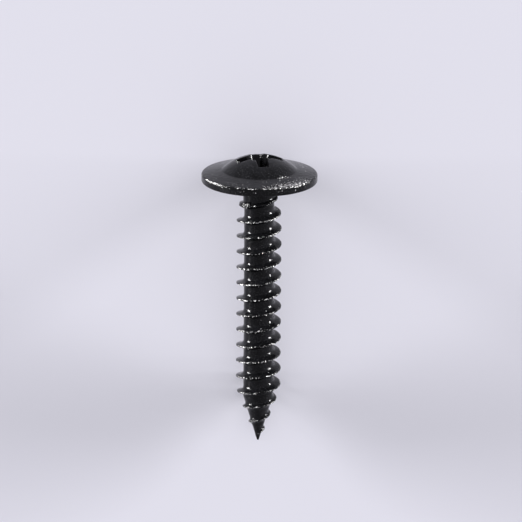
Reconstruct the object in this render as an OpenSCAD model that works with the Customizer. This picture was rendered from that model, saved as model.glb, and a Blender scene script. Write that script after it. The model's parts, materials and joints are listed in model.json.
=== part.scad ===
// Truss head sheet metal screw, one piece of steel: a thin round flange under a low dome with a
// cross recess, a short plain neck, and a coarse right-hand thread that runs to a gimlet point.
// The screw lies at rest on its rim and on a thread crest, on the plane z = 0.

/* [Head] */
// Diameter over the rim
head_d = 10.8; // [9:0.1:13]
// Height of the crown above the bearing face
head_h = 2.45; // [2.2:0.05:2.9]
// Thickness of the flange at its rim
rim_t = 0.75; // [0.5:0.05:0.9]
// Slope of the flange's upper face, in degrees
flange_slope = 11; // [4:1:14]
// Diameter of the dome where it rises from the flange
dome_d = 7; // [6:0.1:7.6]
// Radius of the hollow between the flange and the dome
dome_fillet = 0.5; // [0.2:0.05:0.7]
// Radius of the rim's upper edge
rim_round = 0.2; // [0.15:0.05:0.4]
// Radius of the rim's lower edge
under_round = 0.15; // [0.05:0.05:0.2]

/* [Cross recess] */
// Span across two opposite wings, at the height of the crown
recess_span = 4.8; // [4.2:0.1:5.4]
// Depth below the crown, at the middle
recess_depth = 2.25; // [1.8:0.05:2.4]
// Slope of a wing's outer end from the screw's axis, in degrees
wing_slope = 26.5; // [20:0.5:30]
// Width of a wing at the height of the crown
wing_w = 1.15; // [0.9:0.05:1.4]
// Draft of a wing's two sides, in degrees
wing_draft = 4; // [1:0.5:6]
// Diameter of the tapered middle at the height of the crown
middle_d = 2.3; // [1.9:0.1:2.6]
// Depth of the tapered middle below the crown
middle_depth = 1.8; // [1.2:0.05:2]
// Slope of the tapered middle from the screw's axis, in degrees
middle_slope = 14; // [8:1:18]
// Slope of the floor towards the middle, in degrees
floor_slope = 15; // [5:1:30]
// Turn of the cross about the axis, in degrees
recess_turn = 12; // [0:1:89]

/* [Shank] */
// Length from the bearing face to the tip
shank_l = 25.4; // [16:0.1:40]
// Diameter of the plain neck under the head
neck_d = 3; // [2.9:0.05:3.3]
// Length of the plain neck
neck_l = 1.8; // [1.6:0.1:3]
// Length of the neck's taper into the root
neck_taper_l = 0.4; // [0.2:0.05:0.8]
// Radius of the fillet between the neck and the bearing face
neck_fillet = 0.35; // [0.1:0.05:0.6]

/* [Thread] */
// Diameter over the crests
thread_d = 4.2; // [3.8:0.05:5]
// Diameter at the root
core_d = 2.8; // [2.4:0.02:2.84]
// Distance from one crest to the next
pitch = 1.52; // [1.3:0.01:2]
// Width of a ridge's flat crest
crest_w = 0.12; // [0.08:0.02:0.3]
// Width of a ridge at its root, without its fillets
ridge_w = 0.5; // [0.4:0.02:0.8]
// Radius of the fillets at the root
root_fillet = 0.24; // [0.05:0.01:0.28]
// Depth below the bearing face at which the ridge leaves the neck
thread_from = 1.04; // [1:0.02:1.3]
// Length over which the ridge grows to its full height
run_out_l = 2.3; // [1:0.1:3]
// Depth below the bearing face of a crest on the +X side
thread_phase = 0; // [0:0.01:1.5]

/* [Point] */
// Length over which the crests taper to the tip
point_l = 5.2; // [3.5:0.1:7]
// Length over which the root tapers to the tip
core_point_l = 4.4; // [3:0.1:5]
// Radius of the blunted tip
tip_r = 0.08; // [0.05:0.01:0.15]
// Height of the ridge where it starts at the tip
tip_ridge_h = 0.15; // [0.05:0.01:0.25]
// Distance from the tip to the first crest
tip_clear = 0.75; // [0.6:0.05:1.5]

/* [Hidden] */
$fn = 96;

// Head: the dome's circle, the flange's upper line and the fillets that touch them
head_r = head_d / 2;
dome_base_z = rim_t + (head_r - dome_d / 2) * tan(flange_slope);
dome_rise = head_h - dome_base_z;
dome_r = (pow(dome_d / 2, 2) + pow(dome_rise, 2)) / (2 * dome_rise);
dome_centre = [0, head_h - dome_r];
flange_normal = [sin(flange_slope), cos(flange_slope)];
under_centre = [head_r - under_round, under_round];
rim_drop = rim_round * (1 - sin(flange_slope)) / cos(flange_slope);
rim_centre = [head_r - rim_round, rim_t - rim_drop];
rim_touch = rim_centre + rim_round * flange_normal;
hollow_reach = dome_r + dome_fillet;
hollow_lift = rim_t + dome_fillet / cos(flange_slope) + head_r * tan(flange_slope) - dome_centre.y;
hollow_spread = pow(hollow_reach / cos(flange_slope), 2) - pow(hollow_lift, 2);
hollow_x = (hollow_lift * tan(flange_slope) + sqrt(hollow_spread)) * pow(cos(flange_slope), 2);
hollow_centre = [hollow_x, dome_centre.y + hollow_lift - hollow_x * tan(flange_slope)];
hollow_foot = hollow_centre - dome_fillet * flange_normal;
hollow_top = dome_centre + (hollow_centre - dome_centre) * dome_r / hollow_reach;

// Neck and thread
neck_r = neck_d / 2;
core_r = core_d / 2;
thread_r = thread_d / 2;
neck_sink = 0.1;
neck_end_r = core_r - neck_sink;

// One ridge in section: heights above its middle, and how far each point stands out
flank_angle = atan2((ridge_w - crest_w) / 2, thread_r - core_r);
fillet_turn = 90 - flank_angle;
fillet_reach = root_fillet * tan(fillet_turn / 2);
fillet_steps = 2;
fillet_out = [for (k = [0:fillet_steps]) root_fillet * (1 - cos(k * fillet_turn / fillet_steps))];
fillet_in = [for (k = [0:fillet_steps]) fillet_reach - root_fillet * sin(k * fillet_turn / fillet_steps)];
lower_side = [for (k = [0:fillet_steps]) [-ridge_w / 2 - fillet_in[k], fillet_out[k] / (thread_r - core_r)]];
ridge = concat(
    lower_side,
    [[-crest_w / 2, 1], [crest_w / 2, 1]],
    [for (k = [fillet_steps:-1:0]) [-lower_side[k].x, lower_side[k].y]]
);
ridge_count = len(ridge);

// The helix in equal steps, counted up from a crest on the +X side, and the ramp where it leaves the neck
turn_steps = 32;
ramp_l = pitch / 4;
ramp_h = 0.2;
first_step = ceil((thread_phase - shank_l + tip_clear) * turn_steps / pitch);
last_step = floor((thread_phase - thread_from) * turn_steps / pitch);
step_count = last_step - first_step;
crest_table = [
    [-shank_l, tip_r + tip_ridge_h],
    [-shank_l + point_l, thread_r],
    [-thread_from - run_out_l, thread_r],
    [-thread_from - ramp_l, neck_r + ramp_h],
    [-thread_from, core_r]
];
core_table = [
    [-shank_l, tip_r],
    [-shank_l + core_point_l, core_r]
];

// The place of one point of the ridge's section at one step of the helix
function crest_z(step) = pitch * step / turn_steps - thread_phase;
function root_at(z) = lookup(z, core_table);
function crest_at(z) = lookup(z, crest_table);
function radius_at(z, out) = root_at(z) + out * (crest_at(z) - root_at(z));
function on_helix(step, p) =
    let (z = crest_z(step) + p.x, r = radius_at(z, p.y), a = 360 * step / turn_steps)
    [r * cos(a), r * sin(a), z];

// A point's number: after the last step only the ridge's lower foot goes on, for one more turn
function number(i, j) =
    j == ridge_count ? number(i + turn_steps, 0)
    : i <= step_count ? i * ridge_count + j
    : (step_count + 1) * ridge_count + i - step_count - 1;
function loop_at(i) = concat(
    [for (k = [0:turn_steps - 1]) number(i + k, 0)],
    [for (j = [ridge_count:-1:1]) number(i, j)]
);

// At rest the rim's lower edge and one crest under the shank touch the plane z = 0
function rest_angle(r, depth) =
    let (a = head_r - under_round - r, b = under_round + depth)
    atan2(a, b) + asin(under_round / norm([a, b]));
under_steps = [for (i = [first_step:last_step]) if ((i - turn_steps / 4) % turn_steps == 0) i];
under_depths = [for (i = under_steps) crest_w / 2 - crest_z(i)];
lie_angle = min([for (d = under_depths) rest_angle(crest_at(-d), d)]);
rest_lift = under_centre.x * cos(lie_angle) - under_centre.y * sin(lie_angle) + under_round;
crown_y = dome_centre.y * cos(lie_angle) + dome_r;
tip_y = -shank_l * cos(lie_angle);

// A sector of a disc from one angle to another, under 180 degrees apart
module sector(centre, r, from, to) {
    reach = 1.1 * r / cos((to - from) / 2);
    translate(centre)
        intersection() {
            circle(r);
            polygon([[0, 0], reach * [cos(from), sin(from)], reach * [cos(to), sin(to)]]);
        }
}

// Half of the head's section, right of the axis
module head_section() {
    difference() {
        polygon([
            [0, 0],
            [under_centre.x, 0],
            under_centre,
            [head_r, under_round],
            [head_r, rim_centre.y],
            rim_centre,
            rim_touch,
            hollow_foot,
            hollow_top,
            [0, hollow_top.y]
        ]);
        translate(hollow_centre)
            circle(dome_fillet);
    }
    sector(under_centre, under_round, -90, 0);
    sector(rim_centre, rim_round, 0, 90 - flange_slope);
    intersection() {
        translate(dome_centre)
            circle(dome_r);
        translate([0, hollow_top.y])
            square([hollow_top.x, head_h - hollow_top.y]);
    }
}

// Half of the neck's section, with its fillet above and its taper to the root below
module neck_section() {
    polygon([
        [0, 0],
        [neck_r, 0],
        [neck_r, -neck_l],
        [neck_end_r, -neck_l - neck_taper_l],
        [0, -neck_l - neck_taper_l]
    ]);
    difference() {
        translate([neck_r, -neck_fillet])
            square(neck_fillet);
        translate([neck_r + neck_fillet, -neck_fillet])
            circle(neck_fillet);
    }
}

// Two opposite wings of the recess: a long tapered outline cut to a tapered width
module wing_pair(over) {
    top = recess_span / 2;
    floor_half = (top - recess_depth * tan(wing_slope)) / (1 - tan(floor_slope) * tan(wing_slope));
    floor_rise = floor_half * tan(floor_slope);
    half_w = wing_w / 2;
    intersection() {
        rotate([90, 0, 0])
            linear_extrude(2 * wing_w, center = true)
                polygon([
                    [-top - over * tan(wing_slope), over],
                    [-floor_half, floor_rise - recess_depth],
                    [0, -recess_depth],
                    [floor_half, floor_rise - recess_depth],
                    [top + over * tan(wing_slope), over]
                ]);
        rotate([90, 0, 90])
            linear_extrude(2 * recess_span, center = true)
                polygon([
                    [-half_w - over * tan(wing_draft), over],
                    [-half_w + 2 * recess_depth * tan(wing_draft), -2 * recess_depth],
                    [half_w - 2 * recess_depth * tan(wing_draft), -2 * recess_depth],
                    [half_w + over * tan(wing_draft), over]
                ]);
    }
}

// The whole cross recess, cut from a little over the crown down
module cross_recess() {
    over = 0.5;
    middle_low_r = middle_d / 2 - middle_depth * tan(middle_slope);
    middle_top_r = middle_d / 2 + over * tan(middle_slope);
    translate([0, 0, head_h])
        rotate(recess_turn) {
            wing_pair(over);
            rotate(90)
                wing_pair(over);
            translate([0, 0, -middle_depth])
                cylinder(h = middle_depth + over, r1 = middle_low_r, r2 = middle_top_r);
        }
}

// The root and its ridge as one skin that climbs the helix, closed at the tip and inside the neck
module threaded_shank() {
    skin = [for (i = [0:step_count]) for (p = ridge) on_helix(first_step + i, p)];
    last_foot = [for (i = [1:turn_steps]) on_helix(last_step + i, ridge[0])];
    top_z = crest_z(last_step);
    points = concat(skin, last_foot, [[0, 0, -shank_l], [0, 0, top_z]]);
    tip_number = len(points) - 2;
    top_number = len(points) - 1;
    tip_loop = loop_at(0);
    top_loop = loop_at(step_count);
    loop_count = len(tip_loop);
    faces = concat(
        [for (i = [0:step_count - 1]) for (j = [0:ridge_count - 1])
            [number(i, j), number(i, j + 1), number(i + 1, j)]],
        [for (i = [0:step_count - 1]) for (j = [0:ridge_count - 1])
            [number(i, j + 1), number(i + 1, j + 1), number(i + 1, j)]],
        [for (k = [0:loop_count - 1]) [tip_number, tip_loop[k], tip_loop[(k + 1) % loop_count]]],
        [for (k = [0:loop_count - 1]) [top_number, top_loop[(k + 1) % loop_count], top_loop[k]]]
    );
    polyhedron(points, faces, convexity = 10);
}

// The screw upright on its axis, with its bearing face at z = 0
module upright_screw() {
    difference() {
        union() {
            rotate_extrude() {
                head_section();
                neck_section();
            }
            threaded_shank();
        }
        cross_recess();
    }
}

module screw() {
    color([0.06, 0.06, 0.07])
        translate([0, -(crown_y + tip_y) / 2, rest_lift])
            rotate([lie_angle - 90, 0, 0])
                upright_screw();
}

screw();
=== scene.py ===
import json
import math

import bmesh
import bpy
from mathutils import Matrix, Vector, noise


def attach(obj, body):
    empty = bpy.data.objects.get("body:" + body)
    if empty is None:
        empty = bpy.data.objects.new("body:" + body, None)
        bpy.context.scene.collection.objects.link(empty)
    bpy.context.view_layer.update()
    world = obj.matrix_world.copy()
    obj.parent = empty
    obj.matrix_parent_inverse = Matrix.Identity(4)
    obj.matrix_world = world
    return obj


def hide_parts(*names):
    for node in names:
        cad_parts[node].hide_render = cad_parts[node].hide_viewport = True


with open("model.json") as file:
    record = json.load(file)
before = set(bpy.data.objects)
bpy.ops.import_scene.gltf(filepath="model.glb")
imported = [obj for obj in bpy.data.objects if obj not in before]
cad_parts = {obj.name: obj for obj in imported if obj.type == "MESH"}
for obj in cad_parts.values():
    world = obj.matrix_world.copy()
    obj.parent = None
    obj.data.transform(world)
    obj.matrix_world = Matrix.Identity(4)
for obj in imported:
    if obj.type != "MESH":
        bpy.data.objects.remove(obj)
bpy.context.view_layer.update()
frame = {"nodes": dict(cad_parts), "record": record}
print("frame loaded:", sorted(frame["nodes"]))

# the screw is modelled upright in millimetres, bearing face at z = 0, and then laid in the frame
mounts = {m["name"]: m for m in frame["record"]["mounts"]}
seat = Vector(mounts["bearing_face"]["pos_m"])
towardCrown = -Vector(mounts["bearing_face"]["axis"]).normalized()
sideways = Vector((1, 0, 0))
towardFloor = towardCrown.cross(sideways)
layDown = Matrix((sideways, towardFloor, towardCrown)).transposed().to_4x4()
layDown.translation = seat
millimetre = 0.001
layDown = layDown @ Matrix.Scale(millimetre, 4)

columns = 128  # round the axis, the same for head and thread so that they join
fullTurn = 2 * math.pi
mergeReach = {"mirror": 1e-5, "turns": 1e-4, "cut": 1e-6, "neck": 2e-4, "slivers": 1e-5}


# 0 at low, 1 at high, with low above high for a falling step
def smoothStep(low, high, x):
    t = min(max((x - low) / (high - low), 0), 1)
    return t * t * (3 - 2 * t)


# the larger of two values, rounded over where they meet
def blendMax(a, b, reach):
    near = max(reach - abs(a - b), 0) / reach
    return max(a, b) + near * near * reach / 4


# straight lines between the rows (z, value) of a table
def along(table, z):
    if z <= table[0][0]:
        return table[0][1]
    for (z0, v0), (z1, v1) in zip(table, table[1:]):
        if z <= z1:
            return v0 + (v1 - v0) * (z - z0) / (z1 - z0)
    return table[-1][1]


def slopeOf(degrees):
    return math.tan(math.radians(degrees))


# a section is drawn as a wire in the x z plane, point by point
def lineTo(bm, last, x, z, steps=1):
    stride = (Vector((x, 0, z)) - last.co) / steps
    for k in range(steps):
        start = last.co.copy()
        last = bmesh.ops.extrude_vert_indiv(bm, verts=[last])["verts"][0]
        bmesh.ops.translate(bm, verts=[last], vec=start + stride - last.co)
    return last


def arcTo(bm, last, centre, turn, steps):
    made = bmesh.ops.spin(
        bm, geom=[last], cent=(centre[0], 0, centre[1]), axis=(0, -1, 0), angle=turn, steps=steps
    )
    return [v for v in made["geom_last"] if isinstance(v, bmesh.types.BMVert)][0]


# the whole wire is spun once round the axis
def spinRound(bm, steps):
    bmesh.ops.spin(
        bm, geom=bm.verts[:] + bm.edges[:], cent=(0, 0, 0), axis=(0, 0, 1),
        angle=fullTurn, steps=steps, use_merge=True,
    )


# everything beyond a level plane is cut off
def cutLevel(bm, z, way):
    everything = bm.verts[:] + bm.edges[:] + bm.faces[:]
    made = bmesh.ops.bisect_plane(
        bm, geom=everything, dist=mergeReach["cut"],
        plane_co=(0, 0, z), plane_no=(0, 0, way), clear_outer=True,
    )
    return made["geom_cut"]


# the edge of a surface goes on by one ring
def nextRing(bm, ring, spots):
    edges = [bm.edges.get((ring[i - 1], ring[i])) for i in range(len(ring))]
    made = set(bmesh.ops.extrude_edge_only(bm, edges=edges)["geom"])
    fresh = []
    for old, spot in zip(ring, spots):
        new = next(e.other_vert(old) for e in old.link_edges if e.other_vert(old) in made)
        new.co = spot
        fresh.append(new)
    return fresh


# wearAndPaintedLight lists the worn places and the painted highlights, both drawn as bare-steel
# chips: the share of the coat that is chipped there, the turn about the axis (-90 is the front), the
# ring (both a middle, then an outer and an inner half width), and from where to where the mark sets
# in, inward from the rim, above one height and below another
headSizes = {
    "radius": 5.4,
    "crown": 2.45,
    "rimThickness": 0.75,
    "flangeSlope": 11,
    "domeWidth": 7.0,
    "domeHollow": 0.28,
    "rimRound": 0.2,
    "underRound": 0.15,
    "neckRadius": 1.5,
    "neckFillet": 0.35,
    "wearAndPaintedLight": {
        # partly rim wear, partly a painted highlight line along the front of the rim's upper edge
        "upperEdgeWearAndHighlight": {
            "share": 0.6, "turn": (-84, 42, 20), "inward": (0.2, 0.15),
            "above": (0.68, 0.72), "below": (0.78, 0.755),
        },
        "rim": {"share": 0.07, "inward": (0.5, 0.1), "above": (0.4, 0.6)},
        # partly worn coat, partly a painted highlight: bare-steel chips over the flange at the front
        # right
        "rightScrapeAndHighlight": {
            "share": 0.66, "turn": (-54, 42, 12), "inward": (1.4, 0.3), "above": (0.62, 0.7),
        },
        # painted highlight: a streak of bare steel along the rim's upper edge at the front left
        "leftHighlightStreak": {
            "share": 1.0, "turn": (-143, 18, 10), "inward": (0.2, 0.15),
            "above": (0.62, 0.68), "below": (0.775, 0.755),
        },
        "leftSide": {
            "share": 0.1, "turn": (-125, 40, 25), "inward": (0.2, 0.1), "above": (0.1, 0.25),
        },
        # painted highlight: a thin line of bare steel in the hollow at the dome's foot, front right
        "domeFootHighlight": {"share": 0.75, "turn": (-52, 12, 7), "ring": (1.85, 0.13, 0.08)},
        "flange": {"share": 0.028, "inward": (1.8, 1.4), "above": (0.5, 0.62)},
    },
}


# flange, rim, underside and neck fillet: one section spun round the axis
def spinFlange(bm, s):
    slope = math.radians(s["flangeSlope"])
    baseZ = s["rimThickness"] + (s["radius"] - s["domeWidth"] / 2) * math.tan(slope)
    rise = s["crown"] - baseZ
    s["domeRadius"] = ((s["domeWidth"] / 2) ** 2 + rise**2) / (2 * rise)
    domeCentre = Vector((0, s["crown"] - s["domeRadius"]))
    upFlange = Vector((math.sin(slope), math.cos(slope)))
    rimCentre = Vector((
        s["radius"] - s["rimRound"],
        s["rimThickness"] - s["rimRound"] * (1 - math.sin(slope)) / math.cos(slope),
    ))
    reach = s["domeRadius"] + s["domeHollow"]
    lift = s["rimThickness"] + s["domeHollow"] / math.cos(slope) + s["radius"] * math.tan(slope)
    lift -= domeCentre.y
    spread = (reach / math.cos(slope)) ** 2 - lift**2
    hollowX = (lift * math.tan(slope) + math.sqrt(spread)) * math.cos(slope) ** 2
    hollow = Vector((hollowX, domeCentre.y + lift - hollowX * math.tan(slope)))
    hollowTop = domeCentre + (hollow - domeCentre) * s["domeRadius"] / reach
    hollowTurn = math.atan2(-upFlange.y, -upFlange.x) - math.atan2(*(hollowTop - hollow).yx)
    rimTop = rimCentre + s["rimRound"] * upFlange
    filletX = s["neckRadius"] + s["neckFillet"]
    last = bm.verts.new((hollowTop.x, 0, hollowTop.y))
    last = arcTo(bm, last, hollow, hollowTurn, steps=6)
    last = lineTo(bm, last, rimTop.x, rimTop.y, steps=6)
    last = arcTo(bm, last, rimCentre, slope - math.pi / 2, steps=8)
    last = lineTo(bm, last, s["radius"], s["underRound"])
    underCentre = (s["radius"] - s["underRound"], s["underRound"])
    last = arcTo(bm, last, underCentre, -math.pi / 2, steps=4)
    last = lineTo(bm, last, filletX, 0, steps=5)
    arcTo(bm, last, (filletX, -s["neckFillet"]), math.pi / 2, steps=6)
    spinRound(bm, columns)


def markShare(mark, turn, inward, z):
    share = mark["share"]
    if "turn" in mark:
        middle, outer, inner = mark["turn"]
        share *= smoothStep(outer, inner, abs(turn - middle))
    if "ring" in mark:
        middle, outer, inner = mark["ring"]
        share *= smoothStep(outer, inner, abs(inward - middle))
    for key, value in (("inward", inward), ("above", z), ("below", z)):
        if key in mark:
            share *= smoothStep(*mark[key], value)
    return share


def markHeadWearAndLight(bm, s):
    wearAndPaintedLight = bm.verts.layers.float["wearAndPaintedLight"]
    for v in bm.verts:
        turn = math.degrees(math.atan2(v.co.y, v.co.x))
        inward = s["radius"] - v.co.xy.length
        v[wearAndPaintedLight] = max(markShare(mark, turn, inward, v.co.z) for mark in s["wearAndPaintedLight"].values())


recessSizes = {
    "span": 4.8,
    "depth": 2.25,
    "wingSlope": 26.5,
    "wingWidth": 1.15,
    "wingDraft": 4,
    "cornerRound": 0.14,
    "middleWidth": 2.3,
    "middleSlope": 14,
    "middleLeast": 1.45,  # of the wing's width
    "floorSlope": 15,
    "edgeRound": 0.09,
    "turn": 12,
}

# the last column of each stretch of half a wing: its end, its round corner, its side and the middle
perWing = columns // 4
endRole, cornerRole, sideRole, lastRole = 3, 6, 12, perWing // 2


# one point of the cross outline, by its column in its own wing
def crossPoint(s, role, depth, grow):
    end = s["span"] / 2 - depth * slopeOf(s["wingSlope"]) + grow
    half = s["wingWidth"] / 2 - depth * slopeOf(s["wingDraft"]) + grow
    middle = s["middleWidth"] / 2 - depth * slopeOf(s["middleSlope"]) + grow
    middle = max(middle, s["middleLeast"] * half)
    corner = s["cornerRound"] + grow
    a = abs(role)
    if a <= endRole:
        x, y = end, (half - corner) * a / endRole
    elif a <= cornerRole:
        t = math.pi / 2 * (a - endRole) / (cornerRole - endRole)
        x, y = end - corner + corner * math.cos(t), half - corner + corner * math.sin(t)
    elif a <= sideRole:
        foot = math.sqrt(middle**2 - half**2)
        t = (a - cornerRole) / (sideRole - cornerRole)
        x, y = end - corner + (foot - end + corner) * t, half
    else:
        t = math.asin(half / middle)
        t += (math.pi / 4 - t) * (a - sideRole) / (lastRole - sideRole)
        x, y = middle * math.cos(t), middle * math.sin(t)
    return Vector((x, math.copysign(y, role)))


# the dome runs in from its foot to the rim of the cross recess, and the recess goes down from there
def sinkRecess(bm, s, head):
    rounds = 20  # enough to settle a depth that depends on itself
    domeRings = (0.12, 0.24, 0.36, 0.48, 0.6, 0.71, 0.81, 0.89, 0.95, 1)
    edgeRings = (0.2, 0.4, 0.6, 0.8, 1)
    wallRings = (0.2, 0.4, 0.6, 0.8, 0.95, 1)
    floorRings = (0.35, 0.7)

    def domeZ(r):
        return head["crown"] - head["domeRadius"] + math.sqrt(head["domeRadius"] ** 2 - r * r)

    ring = [v for v in bm.verts if v.is_boundary and v.co.z > 0]
    ring.sort(key=lambda v: round(math.atan2(v.co.y, v.co.x) / fullTurn * columns) % columns)
    shift = round(s["turn"] / 360 * columns)
    roles, turns = [], []
    for i in range(columns):
        k = (i - shift + lastRole - 1) % columns
        roles.append(k % perWing - lastRole + 1)
        turns.append(math.radians(s["turn"] + 90 * (k // perWing)))

    def spot(i, depth, grow):
        p = Matrix.Rotation(turns[i], 2) @ crossPoint(s, roles[i], depth, grow)
        return Vector((p.x, p.y, head["crown"] - depth))

    def rimDepth(i, grow):
        depth = 0
        for k in range(rounds):
            depth = head["crown"] - domeZ(crossPoint(s, roles[i], depth, grow).length)
        return depth

    def floorDepth(i):
        depth = s["depth"]
        for k in range(rounds):
            depth = s["depth"] - crossPoint(s, roles[i], depth, 0).x * slopeOf(s["floorSlope"])
        return depth

    edge = s["edgeRound"]
    outer = [v.co.copy() for v in ring]
    sides = range(columns)
    onDome = [spot(i, rimDepth(i, edge), edge) for i in sides]
    corner = [spot(i, rimDepth(i, 0), 0) for i in sides]
    onWall = [spot(i, rimDepth(i, 0) + edge, 0) for i in sides]
    for t in domeRings:
        spots = []
        for i in sides:
            p = outer[i].lerp(onDome[i], t)
            spots.append(Vector((p.x, p.y, domeZ(p.xy.length))))
        ring = nextRing(bm, ring, spots)
    for t in edgeRings:
        ring = nextRing(bm, ring, [
            onDome[i].lerp(corner[i], t).lerp(corner[i].lerp(onWall[i], t), t) for i in sides
        ])
    wallTop = [rimDepth(i, 0) + edge for i in sides]
    wallFoot = [floorDepth(i) for i in sides]
    for t in wallRings:
        ring = nextRing(bm, ring, [
            spot(i, wallTop[i] + (wallFoot[i] - wallTop[i]) * t, 0) for i in sides
        ])
    bottom = Vector((0, 0, head["crown"] - s["depth"]))
    lowest = [v.co.copy() for v in ring]
    for t in floorRings:
        ring = nextRing(bm, ring, [p.lerp(bottom, t) for p in lowest])
    ring = nextRing(bm, ring, [bottom] * columns)
    bmesh.ops.pointmerge(bm, verts=ring, merge_co=bottom)


# burr, wear and painted light are placed by height and by side, from 1 at the right of the shank to
# -1 at its left
threadSizes = {
    "length": 25.4,
    "radius": 2.1,
    "rootRadius": 1.4,
    "pitch": 1.52,
    "phase": 0.0,
    "crestWidth": 0.12,
    "ridgeWidth": 0.5,
    "rootFillet": 0.34,
    "crestRound": 0.04,
    "start": 1.04,
    "startRise": 0.2,
    "runOut": 2.3,
    "neckLength": 1.8,
    "neckTaper": 0.4,
    "neckSink": 0.1,
    "neckBlend": 0.1,
    "pointLength": 5.2,
    "rootPointLength": 4.4,
    "tipRadius": 0.08,
    "tipRidge": 0.15,
    "tipFade": (0.35, 1.1),
    "tipCut": 0.05,
    "tipInset": 0.03,
    "tipBulge": 0.045,
    "crestDents": 0.014,
    "dentScales": ((1.0, 1.9), (0.6, 5.3)),  # share and fineness of each noise
    "dentSpan": (0.5, 1),
    "firstTurn": (-2.7, -2.1),
    "burrSide": (-0.4, -0.65),
    "burrSwell": (0.02, 0.2),
    "wearAndPaintedLight": {
        "share": 0.42,
        "firstTurnShare": -0.3,
        "flakedShare": 0.27,
        "flakedSide": ((-0.05, -0.3), (-0.92, -0.75)),
        "flakedDepth": 0.5,
        # painted highlight: more bare-steel chips on the crests along the shank's left side
        "leftHighlightShare": 0.3,
        "leftSide": ((-0.4, -0.55), (-0.97, -0.85)),
        # painted shade: fewer chips along the shank's left outline, so that it stays dark
        "outlineShadeShare": -0.3,
        "outlineSide": (-0.88, -0.97),
        "crest": (0.86, 0.99),
        "leastHeight": 0.25,
    },
}


# one turn of the thread is spun with a drop of one pitch, repeated down the shank and then tapered
def rollThread(bm, s, head):
    pitch, root, crest = s["pitch"], s["rootRadius"], s["radius"]
    flank = math.atan2((s["ridgeWidth"] - s["crestWidth"]) / 2, crest - root)
    bend = math.pi / 2 - flank
    filletReach = s["rootFillet"] * math.tan(bend / 2)
    crestReach = s["crestRound"] * math.tan(bend / 2)
    flankWay = Vector((math.cos(flank), math.sin(flank)))
    filletZ = -s["ridgeWidth"] / 2 - filletReach
    shoulder = Vector((crest, -s["crestWidth"] / 2))
    underShoulder = shoulder - flankWay * crestReach
    last = bm.verts.new((root, 0, -pitch / 2))
    last = lineTo(bm, last, root, filletZ, steps=3)
    last = arcTo(bm, last, (root + s["rootFillet"], filletZ), -bend, steps=5)
    last = lineTo(bm, last, *underShoulder, steps=3)
    crestCentre = (crest - s["crestRound"], shoulder.y + crestReach)
    last = arcTo(bm, last, crestCentre, bend, steps=4)
    lineTo(bm, last, crest, 0)
    halfRidge = bm.verts[:] + bm.edges[:]
    bmesh.ops.mirror(bm, geom=halfRidge, axis="Z", merge_dist=mergeReach["mirror"])
    aboveSeat = pitch - s["phase"]  # the first turn starts over the bearing face and is cut there
    bmesh.ops.translate(bm, verts=bm.verts[:], vec=(0, 0, aboveSeat))
    bmesh.ops.spin(
        bm, geom=bm.verts[:] + bm.edges[:], cent=(0, 0, 0), axis=(0, 0, -1),
        dvec=(0, 0, -pitch / columns), angle=fullTurn, steps=columns,
    )
    oneTurn = bm.verts[:] + bm.edges[:] + bm.faces[:]
    for k in range(1, math.ceil(s["length"] / pitch) + 2):
        copy = bmesh.ops.duplicate(bm, geom=oneTurn)["geom"]
        fresh = [v for v in copy if isinstance(v, bmesh.types.BMVert)]
        bmesh.ops.translate(bm, verts=fresh, vec=(0, 0, -pitch * k))
    bmesh.ops.remove_doubles(bm, verts=bm.verts[:], dist=mergeReach["turns"])
    shapeThread(bm, s, head)
    joinNeck(bm, head)
    bluntTip(bm, s)


# run-out, taper, neck, burr and dents move the points in and out, and the wear and painted light go
# with them
def shapeThread(bm, s, head):
    root, crest = s["rootRadius"], s["radius"]
    tip = -s["length"]
    ramp = s["pitch"] / 4
    neckFoot = -s["neckLength"] - s["neckTaper"]
    crests = [
        (tip, s["tipRadius"] + s["tipRidge"]),
        (tip + s["pointLength"], crest),
        (-s["start"] - s["runOut"], crest),
        (-s["start"] - ramp, head["neckRadius"] + s["startRise"]),
        (-s["start"], root),
    ]
    roots = [(tip, s["tipRadius"]), (tip + s["rootPointLength"], root)]
    neck = [
        (neckFoot - 0.01, 0),  # ends inside the root
        (neckFoot, root - s["neckSink"]),
        (-s["neckLength"], head["neckRadius"]),
    ]
    fadeFrom, fadeTo = s["tipFade"]
    w = s["wearAndPaintedLight"]
    wearAndPaintedLight = bm.verts.layers.float["wearAndPaintedLight"]
    for v in bm.verts:
        r, z = v.co.xy.length, v.co.z
        side = v.co.x / r
        first = smoothStep(*s["firstTurn"], z)
        burr = first * smoothStep(*s["burrSide"], side)
        out = (r - root) / (crest - root)
        out += burr * (smoothStep(*s["burrSwell"], out) - out)
        height = along(crests, z) - along(roots, z)
        height *= smoothStep(tip + fadeFrom, tip + fadeTo, z)
        dents = sum(depth * noise.noise(v.co * scale) for depth, scale in s["dentScales"])
        dents *= s["crestDents"] * smoothStep(*s["dentSpan"], out)
        new = along(roots, z) + out * height + dents
        new = blendMax(new, along(neck, z), s["neckBlend"])
        v.co.xy *= new / r

        flaked = first * math.prod(smoothStep(*span, side) for span in w["flakedSide"])
        # the left term adds chips as a painted highlight on the left crests, the outline term takes
        # chips away as painted shade at the left outline
        paintedLeftHighlight = (1 - first) * math.prod(smoothStep(*span, side) for span in w["leftSide"])
        chipped = w["share"] + w["firstTurnShare"] * first + w["flakedShare"] * flaked
        chipped += w["leftHighlightShare"] * paintedLeftHighlight + w["outlineShadeShare"] * smoothStep(*w["outlineSide"], side)
        crestFrom, crestTo = w["crest"]
        onCrest = smoothStep(crestFrom - w["flakedDepth"] * flaked, crestTo, out)
        v[wearAndPaintedLight] = max(chipped, 0) * onCrest * smoothStep(0, w["leastHeight"], height)


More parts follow.
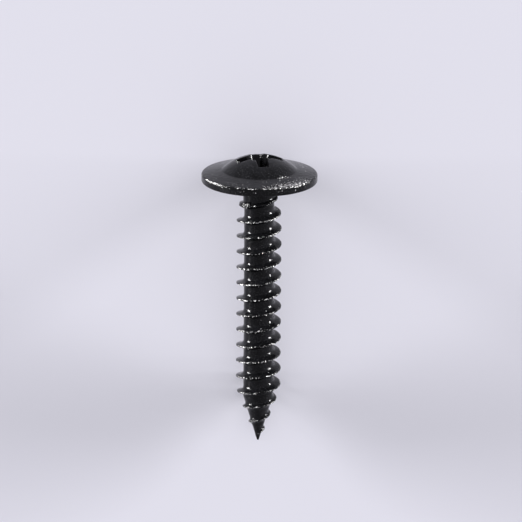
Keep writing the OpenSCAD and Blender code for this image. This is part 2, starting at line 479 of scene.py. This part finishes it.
# cut level at the neck fillet and welded to one point per column, where the head's own columns begin
def joinNeck(bm, head):
    cut = cutLevel(bm, -head["neckFillet"], 1)
    ring = [v for v in cut if isinstance(v, bmesh.types.BMVert)]
    step = fullTurn / columns
    nearest = {}
    for v in ring:
        turn = math.atan2(v.co.y, v.co.x) / step
        nearest.setdefault(round(turn) % columns, []).append((abs(turn - round(turn)), v))
    welds = {}
    for group in nearest.values():
        group.sort(key=lambda pair: pair[0])
        for off, v in group[1:]:
            welds[v] = group[0][1]
    bmesh.ops.weld_verts(bm, targetmap=welds)


def bluntTip(bm, s):
    cut = cutLevel(bm, s["tipCut"] - s["length"], -1)
    rim = [e for e in cut if isinstance(e, bmesh.types.BMEdge)]
    cap = bmesh.ops.edgeloop_fill(bm, edges=rim)["faces"]
    bmesh.ops.inset_region(bm, faces=cap, thickness=s["tipInset"], use_even_offset=True)
    middle = list({v for f in cap for v in f.verts})
    bmesh.ops.translate(bm, verts=middle, vec=(0, 0, -s["tipBulge"]))


def makeScrew():
    headMesh = bmesh.new()
    headMesh.verts.layers.float.new("wearAndPaintedLight")
    spinFlange(headMesh, headSizes)
    sinkRecess(headMesh, recessSizes, headSizes)
    markHeadWearAndLight(headMesh, headSizes)
    print("head:", len(headMesh.faces), "faces")

    shankMesh = bmesh.new()
    shankMesh.verts.layers.float.new("wearAndPaintedLight")
    rollThread(shankMesh, threadSizes, headSizes)
    print("shank:", len(shankMesh.faces), "faces")

    shank = bpy.data.meshes.new("shank")
    shankMesh.to_mesh(shank)
    shankMesh.free()
    headMesh.from_mesh(shank)
    bpy.data.meshes.remove(shank)
    bm = headMesh
    sharpFrom = math.radians(38)
    bmesh.ops.remove_doubles(bm, verts=bm.verts[:], dist=mergeReach["neck"])
    bmesh.ops.dissolve_degenerate(bm, edges=bm.edges[:], dist=mergeReach["slivers"])
    bmesh.ops.recalc_face_normals(bm, faces=bm.faces[:])
    for f in bm.faces:
        f.smooth = True
    for e in bm.edges:
        e.smooth = e.is_boundary or e.calc_face_angle(0) < sharpFrom
    openEdges = sum(1 for e in bm.edges if not e.is_manifold)
    bmesh.ops.transform(bm, matrix=layDown, verts=bm.verts[:])
    mesh = bpy.data.meshes.new("screwBody")
    bm.to_mesh(mesh)
    bm.free()
    screw = bpy.data.objects.new("screwBody", mesh)
    bpy.context.scene.collection.objects.link(screw)
    print("screw:", len(mesh.polygons), "faces,", openEdges, "open edges")
    return screw


# a noise has scale, detail and roughness, and a span says from where to where its effect sets in
finish = {
    "black": (0.0012, 0.0012, 0.0014),
    "grey": (0.004, 0.004, 0.0048),
    "greySpan": (0.35, 0.7),
    "bloom": (0.03, 0.03, 0.032),
    "bloomSpan": (0.56, 0.78),
    "roughness": (0.06, 0.15),
    "roughSpan": (0.55, 1.05),
    "roughGrain": 0.6,
    "gloss": 1.22,
    "bareSteel": ((0.12, 0.119, 0.117), (0.64, 0.63, 0.62)),
    "bareRoughness": 0.42,
    "dust": (0.42, 0.42, 0.435),
    "dustRoughness": 0.8,
    "grain": (8000, 3, 0.65),
    "mottle": (2800, 2, 0.5),
    "patches": (900, 4, 0.6),
    "chips": 9000,
    "chipSpan": (0.45, 0.3),
    "chipGrowth": 0.3,
    "chipSoftness": 0.04,
    "specks": 4200,
    "speckSpan": (0.22, 0.12),
    "speckDraw": (0.972, 0.976),
    "grainDepth": 0.00009,
    "mottleDepth": 2.0,
    "chipDepth": 0.5,
    "bumpByWearAndLight": (0.0, 0.5, 0.13, 0.8),
}


# black satin coat: fine grain, paler patches, bare steel where it is worn and as painted highlights,
# a few specks of dust
def blackFinish(f):
    material = bpy.data.materials.new("blackFinish")
    material.use_nodes = True
    nodes, links = material.node_tree.nodes, material.node_tree.links
    shader = nodes["Principled BSDF"]
    place = nodes.new("ShaderNodeTexCoord")

    def noiseAt(scale, detail, rough):
        node = nodes.new("ShaderNodeTexNoise")
        node.inputs["Scale"].default_value = scale
        node.inputs["Detail"].default_value = detail
        node.inputs["Roughness"].default_value = rough
        links.new(place.outputs["Object"], node.inputs["Vector"])
        return node.outputs["Fac"]

    def ramp(value, low, high, newLow=0.0, newHigh=1.0):
        node = nodes.new("ShaderNodeMapRange")
        node.inputs["From Min"].default_value = low
        node.inputs["From Max"].default_value = high
        node.inputs["To Min"].default_value = newLow
        node.inputs["To Max"].default_value = newHigh
        links.new(value, node.inputs["Value"])
        return node.outputs["Result"]

    def calc(operation, a, b):
        node = nodes.new("ShaderNodeMath")
        node.operation = operation
        for k, value in enumerate((a, b)):
            if isinstance(value, (int, float)):
                node.inputs[k].default_value = value
            else:
                links.new(value, node.inputs[k])
        return node.outputs["Value"]

    def mixColour(share, a, b):
        node = nodes.new("ShaderNodeMix")
        node.data_type = "RGBA"
        links.new(share, node.inputs["Factor"])
        for name, value in (("A", a), ("B", b)):
            socket = next(i for i in node.inputs if i.name == name and i.type == "RGBA")
            if isinstance(value, tuple):
                socket.default_value = (*value, 1)
            else:
                links.new(value, socket)
        return next(o for o in node.outputs if o.type == "RGBA")

    # random cells: distance from a cell's middle, and two draws per cell
    def cellsAt(scale):
        node = nodes.new("ShaderNodeTexVoronoi")
        node.inputs["Scale"].default_value = scale
        node.inputs["Randomness"].default_value = 1
        links.new(place.outputs["Object"], node.inputs["Vector"])
        draws = nodes.new("ShaderNodeSeparateColor")
        links.new(node.outputs["Color"], draws.inputs["Color"])
        return node.outputs["Distance"], draws.outputs["Red"], draws.outputs["Green"]

    grain = noiseAt(*f["grain"])
    mottle = noiseAt(*f["mottle"])
    patches = noiseAt(*f["patches"])
    attribute = nodes.new("ShaderNodeAttribute")
    attribute.attribute_name = "wearAndPaintedLight"
    wearAndPaintedLight = attribute.outputs["Fac"]
    # the mask from the mesh marks both worn chips and painted highlights, drawn alike as bare steel
    chips, chipDraw, chipShade = cellsAt(f["chips"])
    chosen = ramp(calc("SUBTRACT", wearAndPaintedLight, chipDraw), 0.0, f["chipSoftness"])
    spread = calc("SUBTRACT", chips, calc("MULTIPLY", wearAndPaintedLight, f["chipGrowth"]))
    bareAndHighlight = calc("MULTIPLY", ramp(spread, *f["chipSpan"]), chosen)
    specks, speckDraw = cellsAt(f["specks"])[:2]
    dust = calc("MULTIPLY", ramp(specks, *f["speckSpan"]), ramp(speckDraw, *f["speckDraw"]))

    colour = mixColour(ramp(patches, *f["greySpan"]), f["black"], f["grey"])
    colour = mixColour(ramp(grain, *f["bloomSpan"]), colour, f["bloom"])
    colour = mixColour(dust, colour, f["dust"])
    colour = mixColour(bareAndHighlight, colour, mixColour(chipShade, *f["bareSteel"]))
    links.new(colour, shader.inputs["Base Color"])
    shader.inputs["IOR"].default_value = f["gloss"]
    links.new(bareAndHighlight, shader.inputs["Metallic"])
    rough = calc("ADD", patches, calc("MULTIPLY", grain, f["roughGrain"]))
    rough = ramp(rough, *f["roughSpan"], *f["roughness"])
    rough = calc("MAXIMUM", rough, calc("MULTIPLY", bareAndHighlight, f["bareRoughness"]))
    rough = calc("MAXIMUM", rough, calc("MULTIPLY", dust, f["dustRoughness"]))
    links.new(rough, shader.inputs["Roughness"])
    bump = nodes.new("ShaderNodeBump")
    links.new(ramp(wearAndPaintedLight, *f["bumpByWearAndLight"]), bump.inputs["Strength"])
    bump.inputs["Distance"].default_value = f["grainDepth"]
    uneven = calc("ADD", grain, calc("MULTIPLY", mottle, f["mottleDepth"]))
    uneven = calc("SUBTRACT", uneven, calc("MULTIPLY", bareAndHighlight, f["chipDepth"]))
    links.new(uneven, bump.inputs["Height"])
    links.new(bump.outputs["Normal"], shader.inputs["Normal"])
    return material


screw = makeScrew()
screw.data.materials.append(blackFinish(finish))
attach(screw, "root")
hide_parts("screw")
print("screw finished")


stageSizes = {
    "floorRadius": 4.0,
    "middleRadius": 0.05,
    "colour": (0.745, 0.735, 0.815),
}


# a wide round floor, matt so that it mirrors no lamp
def makeFloor(s):
    bm = bmesh.new()
    last = bm.verts.new((s["middleRadius"], 0, 0))
    lineTo(bm, last, s["floorRadius"], 0, steps=8)
    spinRound(bm, steps=96)
    nearMiddle = 2 * s["middleRadius"]
    inner = [e for e in bm.edges if e.is_boundary and e.verts[0].co.xy.length < nearMiddle]
    bmesh.ops.edgeloop_fill(bm, edges=inner)
    bmesh.ops.recalc_face_normals(bm, faces=bm.faces[:])
    for f in bm.faces:
        f.smooth = True
    mesh = bpy.data.meshes.new("paleFloor")
    bm.to_mesh(mesh)
    bm.free()
    floor = bpy.data.objects.new("paleFloor", mesh)
    bpy.context.scene.collection.objects.link(floor)
    material = bpy.data.materials.new("paleFloor")
    material.use_nodes = True
    shader = material.node_tree.nodes["Principled BSDF"]
    shader.inputs["Base Color"].default_value = (*s["colour"], 1)
    shader.inputs["Roughness"].default_value = 1
    shader.inputs["Specular IOR Level"].default_value = 0
    mesh.materials.append(material)
    return floor


makeFloor(stageSizes)

# fill lights the matt surfaces, backdrop is what is seen directly and in reflections
lightSet = {
    "fill": (0.5, 0.5, 0.515),
    "backdrop": (0.72, 0.71, 0.79),
    "distance": 2.5,
    "lamps": {
        "leftPanel": {"from": (-0.945, 0.27, 0.062), "size": (1.5, 0.24), "watts": 250.0},
        "rightPanel": {"from": (0.945, 0.27, 0.062), "size": (1.5, 0.24), "watts": 250.0},
        "leftStrip": {"from": (-0.98, 0.0, 0.17), "size": (3.2, 0.64), "watts": 10.0},
    },
}


def makeLights(s, aim):
    world = bpy.data.worlds.new("studio")
    bpy.context.scene.world = world
    world.use_nodes = True
    nodes, links = world.node_tree.nodes, world.node_tree.links
    rays = nodes.new("ShaderNodeLightPath")
    seen = rays.outputs["Is Camera Ray"]
    for other in ("Is Glossy Ray", "Is Transmission Ray"):
        either = nodes.new("ShaderNodeMath")
        either.operation = "MAXIMUM"
        links.new(seen, either.inputs[0])
        links.new(rays.outputs[other], either.inputs[1])
        seen = either.outputs["Value"]
    tone = nodes.new("ShaderNodeMix")
    tone.data_type = "RGBA"
    links.new(seen, tone.inputs["Factor"])
    for name, colour in (("A", s["fill"]), ("B", s["backdrop"])):
        socket = next(i for i in tone.inputs if i.name == name and i.type == "RGBA")
        socket.default_value = (*colour, 1)
    result = next(o for o in tone.outputs if o.type == "RGBA")
    links.new(result, nodes["Background"].inputs["Color"])
    for name, lamp in s["lamps"].items():
        light = bpy.data.lights.new(name, "AREA")
        light.shape = "RECTANGLE"
        light.size, light.size_y = lamp["size"]
        light.energy = lamp["watts"]
        panel = bpy.data.objects.new(name, light)
        way = Vector(lamp["from"]).normalized()
        panel.location = aim + way * s["distance"]
        panel.rotation_euler = way.to_track_quat("Z", "Y").to_euler()
        panel.visible_camera = False
        bpy.context.scene.collection.objects.link(panel)


cameraSet = {
    "above": 17.0,  # degrees over the plane square to the screw's axis
    "distance": 0.5,
    "viewWidth": 0.0485,
    "lean": 0.35,
    "seatPixel": (259.4, 180.9),
    "picture": 522,
    "sensor": 36,
    "clipStart": 0.01,
}


# the picture's up is the screw's axis, so the camera looks down on the lying screw
def makeCamera(s):
    above = math.radians(s["above"])
    towardCamera = math.sin(above) * towardCrown - math.cos(above) * towardFloor
    up = (math.cos(above) * towardCrown + math.sin(above) * towardFloor).normalized()
    right = up.cross(towardCamera)
    perPixel = s["viewWidth"] / s["picture"]
    lean = Matrix.Rotation(math.radians(s["lean"]), 3, towardCamera)
    up, right = lean @ up, lean @ right
    fromMiddle = Vector(s["seatPixel"]) - Vector((s["picture"] / 2, s["picture"] / 2))
    middle = seat - right * fromMiddle.x * perPixel + up * fromMiddle.y * perPixel
    lens = bpy.data.cameras.new("camera")
    lens.sensor_width = s["sensor"]
    lens.lens = s["sensor"] * s["distance"] / s["viewWidth"]
    lens.clip_start = s["clipStart"]
    camera = bpy.data.objects.new("camera", lens)
    turn = Matrix((right, up, towardCamera)).transposed()
    camera.matrix_world = Matrix.Translation(middle + towardCamera * s["distance"]) @ turn.to_4x4()
    bpy.context.scene.collection.objects.link(camera)
    bpy.context.scene.camera = camera


makeLights(lightSet, seat)
makeCamera(cameraSet)
bpy.context.scene.view_settings.view_transform = "Standard"
print("stage, lights and camera set")
